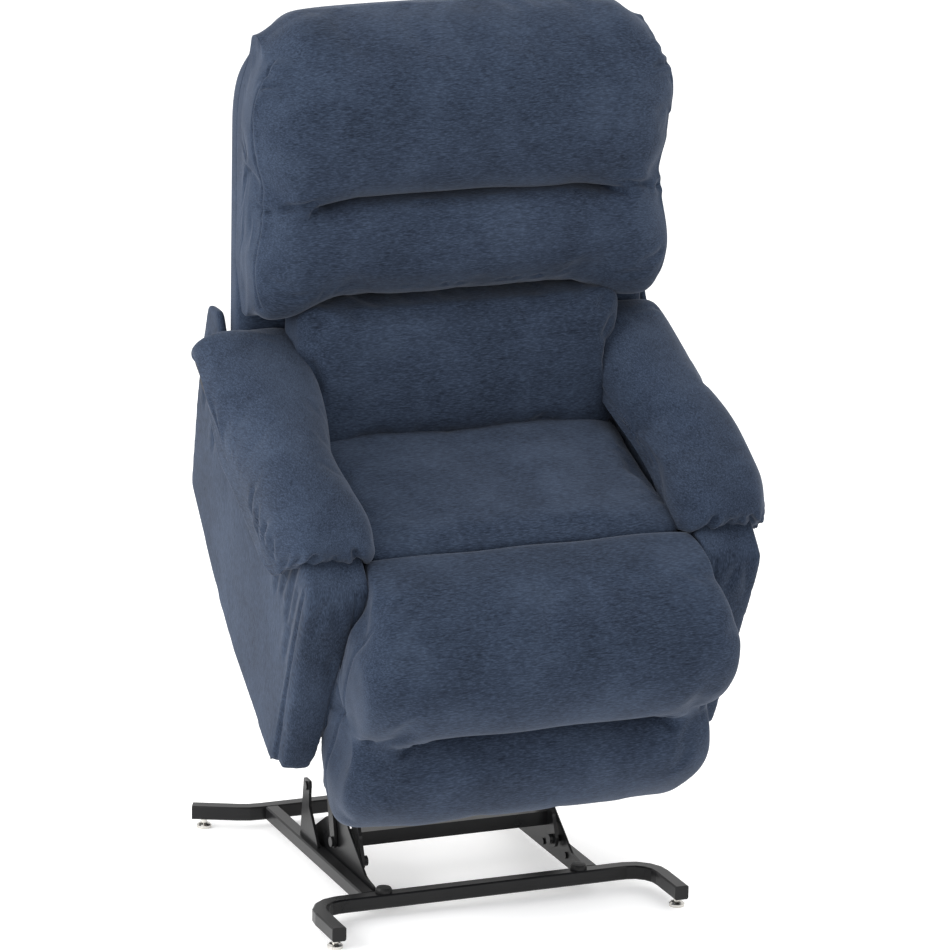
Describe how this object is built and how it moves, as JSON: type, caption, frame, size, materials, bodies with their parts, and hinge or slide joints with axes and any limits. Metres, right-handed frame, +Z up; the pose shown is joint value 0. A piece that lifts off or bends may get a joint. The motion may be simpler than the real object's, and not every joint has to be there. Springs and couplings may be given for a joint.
{
  "type": "lift recliner chair",
  "caption": "Upholstered lift recliner chair with pillow back, padded arms and footrest, leaning forward on a powered lift base.",
  "frame": {"origin": "centre of the bounding box in plan, on the floor", "axes": "+Z up, the sitter faces -Y, +X is the sitter's left; drawn fully raised"},
  "size_m": [0.8706, 0.874, 1.5243],
  "materials": {
    "frame_black": "satin black powder coat",
    "link_steel": "zinc-plated pressed steel",
    "bright_steel": "bright plated steel",
    "black_plastic": "fine-textured black plastic",
    "button_grey": "matt grey keypad rubber",
    "frame_wood": "plain sawn plywood and hardwood",
    "webbing": "woven elastic webbing",
    "upholstery": "blue-grey chenille with a short soft pile"
  },
  "bodies": {
    "base": {"base_front_tube": "frame_black", "base_rear_tube": "frame_black", "base_rail_L": "frame_black", "base_rail_R": "frame_black", "base_cap_L": "black_plastic", "base_cap_R": "black_plastic", "glide_front_L": "bright_steel", "glide_front_R": "bright_steel", "glide_rear_L": "bright_steel", "glide_rear_R": "bright_steel", "base_plate_L": "frame_black", "base_plate_R": "frame_black", "lift_motor_bracket": "frame_black"},
    "lower_arms": {"lower_lift_frame": "frame_black"},
    "upper_arms": {"upper_arm_L": "frame_black", "upper_arm_R": "frame_black"},
    "rear_links": {"rear_link_L": "frame_black", "rear_link_R": "frame_black"},
    "lift_actuator": {"lift_motor": "black_plastic", "lift_motor_tube": "link_steel"},
    "lift_rod": {"lift_rod": "bright_steel"},
    "chair_frame": {"seat_side_rail_L": "frame_wood", "seat_side_rail_R": "frame_wood", "seat_front_rail": "frame_wood", "seat_rear_rail": "frame_wood", "seat_cross_tube": "frame_black", "seat_webbing": "webbing", "power_supply": "black_plastic", "seat_cushion": "upholstery", "side_panel_L": "upholstery", "side_panel_R": "upholstery", "arm_box_L": "upholstery", "arm_box_R": "upholstery", "arm_front_L": "upholstery", "arm_front_R": "upholstery", "arm_pad_L": "upholstery", "arm_pad_R": "upholstery", "handset_holder": "black_plastic"},
    "backrest": {"back_board": "frame_wood", "back_hinge_frame": "link_steel", "back_shell": "upholstery", "back_pillow_lumbar": "upholstery", "back_pillow_middle": "upholstery", "back_pillow_head": "upholstery"},
    "recline_actuator": {"recline_motor": "black_plastic", "recline_motor_tube": "link_steel"},
    "recline_rod": {"recline_rod": "bright_steel"},
    "footrest_upper_links": {"footrest_link_upper_L": "link_steel", "footrest_link_upper_R": "link_steel"},
    "footrest_lower_links": {"footrest_link_lower": "link_steel"},
    "footrest": {"footrest_bracket": "link_steel", "footrest_board": "frame_wood", "footrest_pad_upper": "upholstery", "footrest_pad_lower": "upholstery"},
    "handset": {"handset": "black_plastic"},
    "button_raise": {"handset_button_raise": "button_grey"},
    "button_lower": {"handset_button_lower": "button_grey"}
  },
  "joints": [
    {"name": "lift", "type": "hinge", "parent": "base", "child": "lower_arms", "pos_m": [0, -0.0043, 0.06], "axis": [1, 0, 0], "range_deg": [-59.16, 0]},
    {"name": "knee", "type": "hinge", "parent": "lower_arms", "child": "upper_arms", "pos_m": [0, 0.112, 0.3202], "axis": [1, 0, 0], "range_deg": [0, 64.62]},
    {"name": "chair_tilt", "type": "hinge", "parent": "upper_arms", "child": "chair_frame", "pos_m": [0, -0.0821, 0.529], "axis": [1, 0, 0], "range_deg": [-36.46, 0]},
    {"name": "rear_link_turn", "type": "hinge", "parent": "base", "child": "rear_links", "pos_m": [0, 0.0799, 0.07], "axis": [1, 0, 0], "range_deg": [-75.75, 0]},
    {"name": "lift_motor_pivot", "type": "hinge", "parent": "base", "child": "lift_actuator", "pos_m": [0, 0.3857, 0.085], "axis": [1, 0, 0], "range_deg": [0, 9.7]},
    {"name": "lift_rod_slide", "type": "slide", "parent": "lift_actuator", "child": "lift_rod", "axis": [0, -0.9561, 0.2932], "range_m": [-0.12845, 0]},
    {"name": "recline", "type": "hinge", "parent": "chair_frame", "child": "backrest", "pos_m": [0, 0.14323, 0.7752], "axis": [1, 0, 0], "range_deg": [-38, 0]},
    {"name": "recline_motor_pivot", "type": "hinge", "parent": "chair_frame", "child": "recline_actuator", "pos_m": [0, -0.06415, 0.55727], "axis": [1, 0, 0], "range_deg": [0, 6.88]},
    {"name": "recline_rod_slide", "type": "slide", "parent": "recline_actuator", "child": "recline_rod", "axis": [0, 0.8729, 0.4879], "range_m": [-0.051, 0]},
    {"name": "footrest", "type": "hinge", "parent": "chair_frame", "child": "footrest_upper_links", "pos_m": [0, -0.13618, 0.56065], "axis": [1, 0, 0], "range_deg": [-94.1, 0]},
    {"name": "footrest_knee", "type": "hinge", "parent": "footrest_upper_links", "child": "footrest_lower_links", "pos_m": [0, 0.08353, 0.41793], "axis": [1, 0, 0], "range_deg": [0, 98.31]},
    {"name": "footrest_tilt", "type": "hinge", "parent": "footrest_lower_links", "child": "footrest", "pos_m": [0, -0.17637, 0.38484], "axis": [1, 0, 0], "range_deg": [-78.21, 0]},
    {"name": "handset_lift_off", "type": "slide", "parent": "chair_frame", "child": "handset", "axis": [-1, 0, 0], "range_m": [0, 0.06]},
    {"name": "button_raise_press", "type": "slide", "parent": "handset", "child": "button_raise", "axis": [1, 0, 0], "range_m": [0, 0.0012], "stiffness_N_per_m": 800},
    {"name": "button_lower_press", "type": "slide", "parent": "handset", "child": "button_lower", "axis": [1, 0, 0], "range_m": [0, 0.0012], "stiffness_N_per_m": 800}
  ],
  "couplings": [
    {"joint": "knee", "follows": "lift", "ratio": -1.092},
    {"joint": "chair_tilt", "follows": "lift", "ratio": 0.61602},
    {"joint": "rear_link_turn", "follows": "lift", "ratio": 1.2802},
    {"joint": "lift_motor_pivot", "follows": "lift", "ratio": -0.16363},
    {"joint": "lift_rod_slide", "follows": "lift", "m_per_rad": 0.12392},
    {"joint": "recline_motor_pivot", "follows": "recline", "ratio": -0.18058},
    {"joint": "recline_rod_slide", "follows": "recline", "m_per_rad": 0.07614},
    {"joint": "footrest_knee", "follows": "footrest", "ratio": -1.0445},
    {"joint": "footrest_tilt", "follows": "footrest", "ratio": 0.83092}
  ]
}
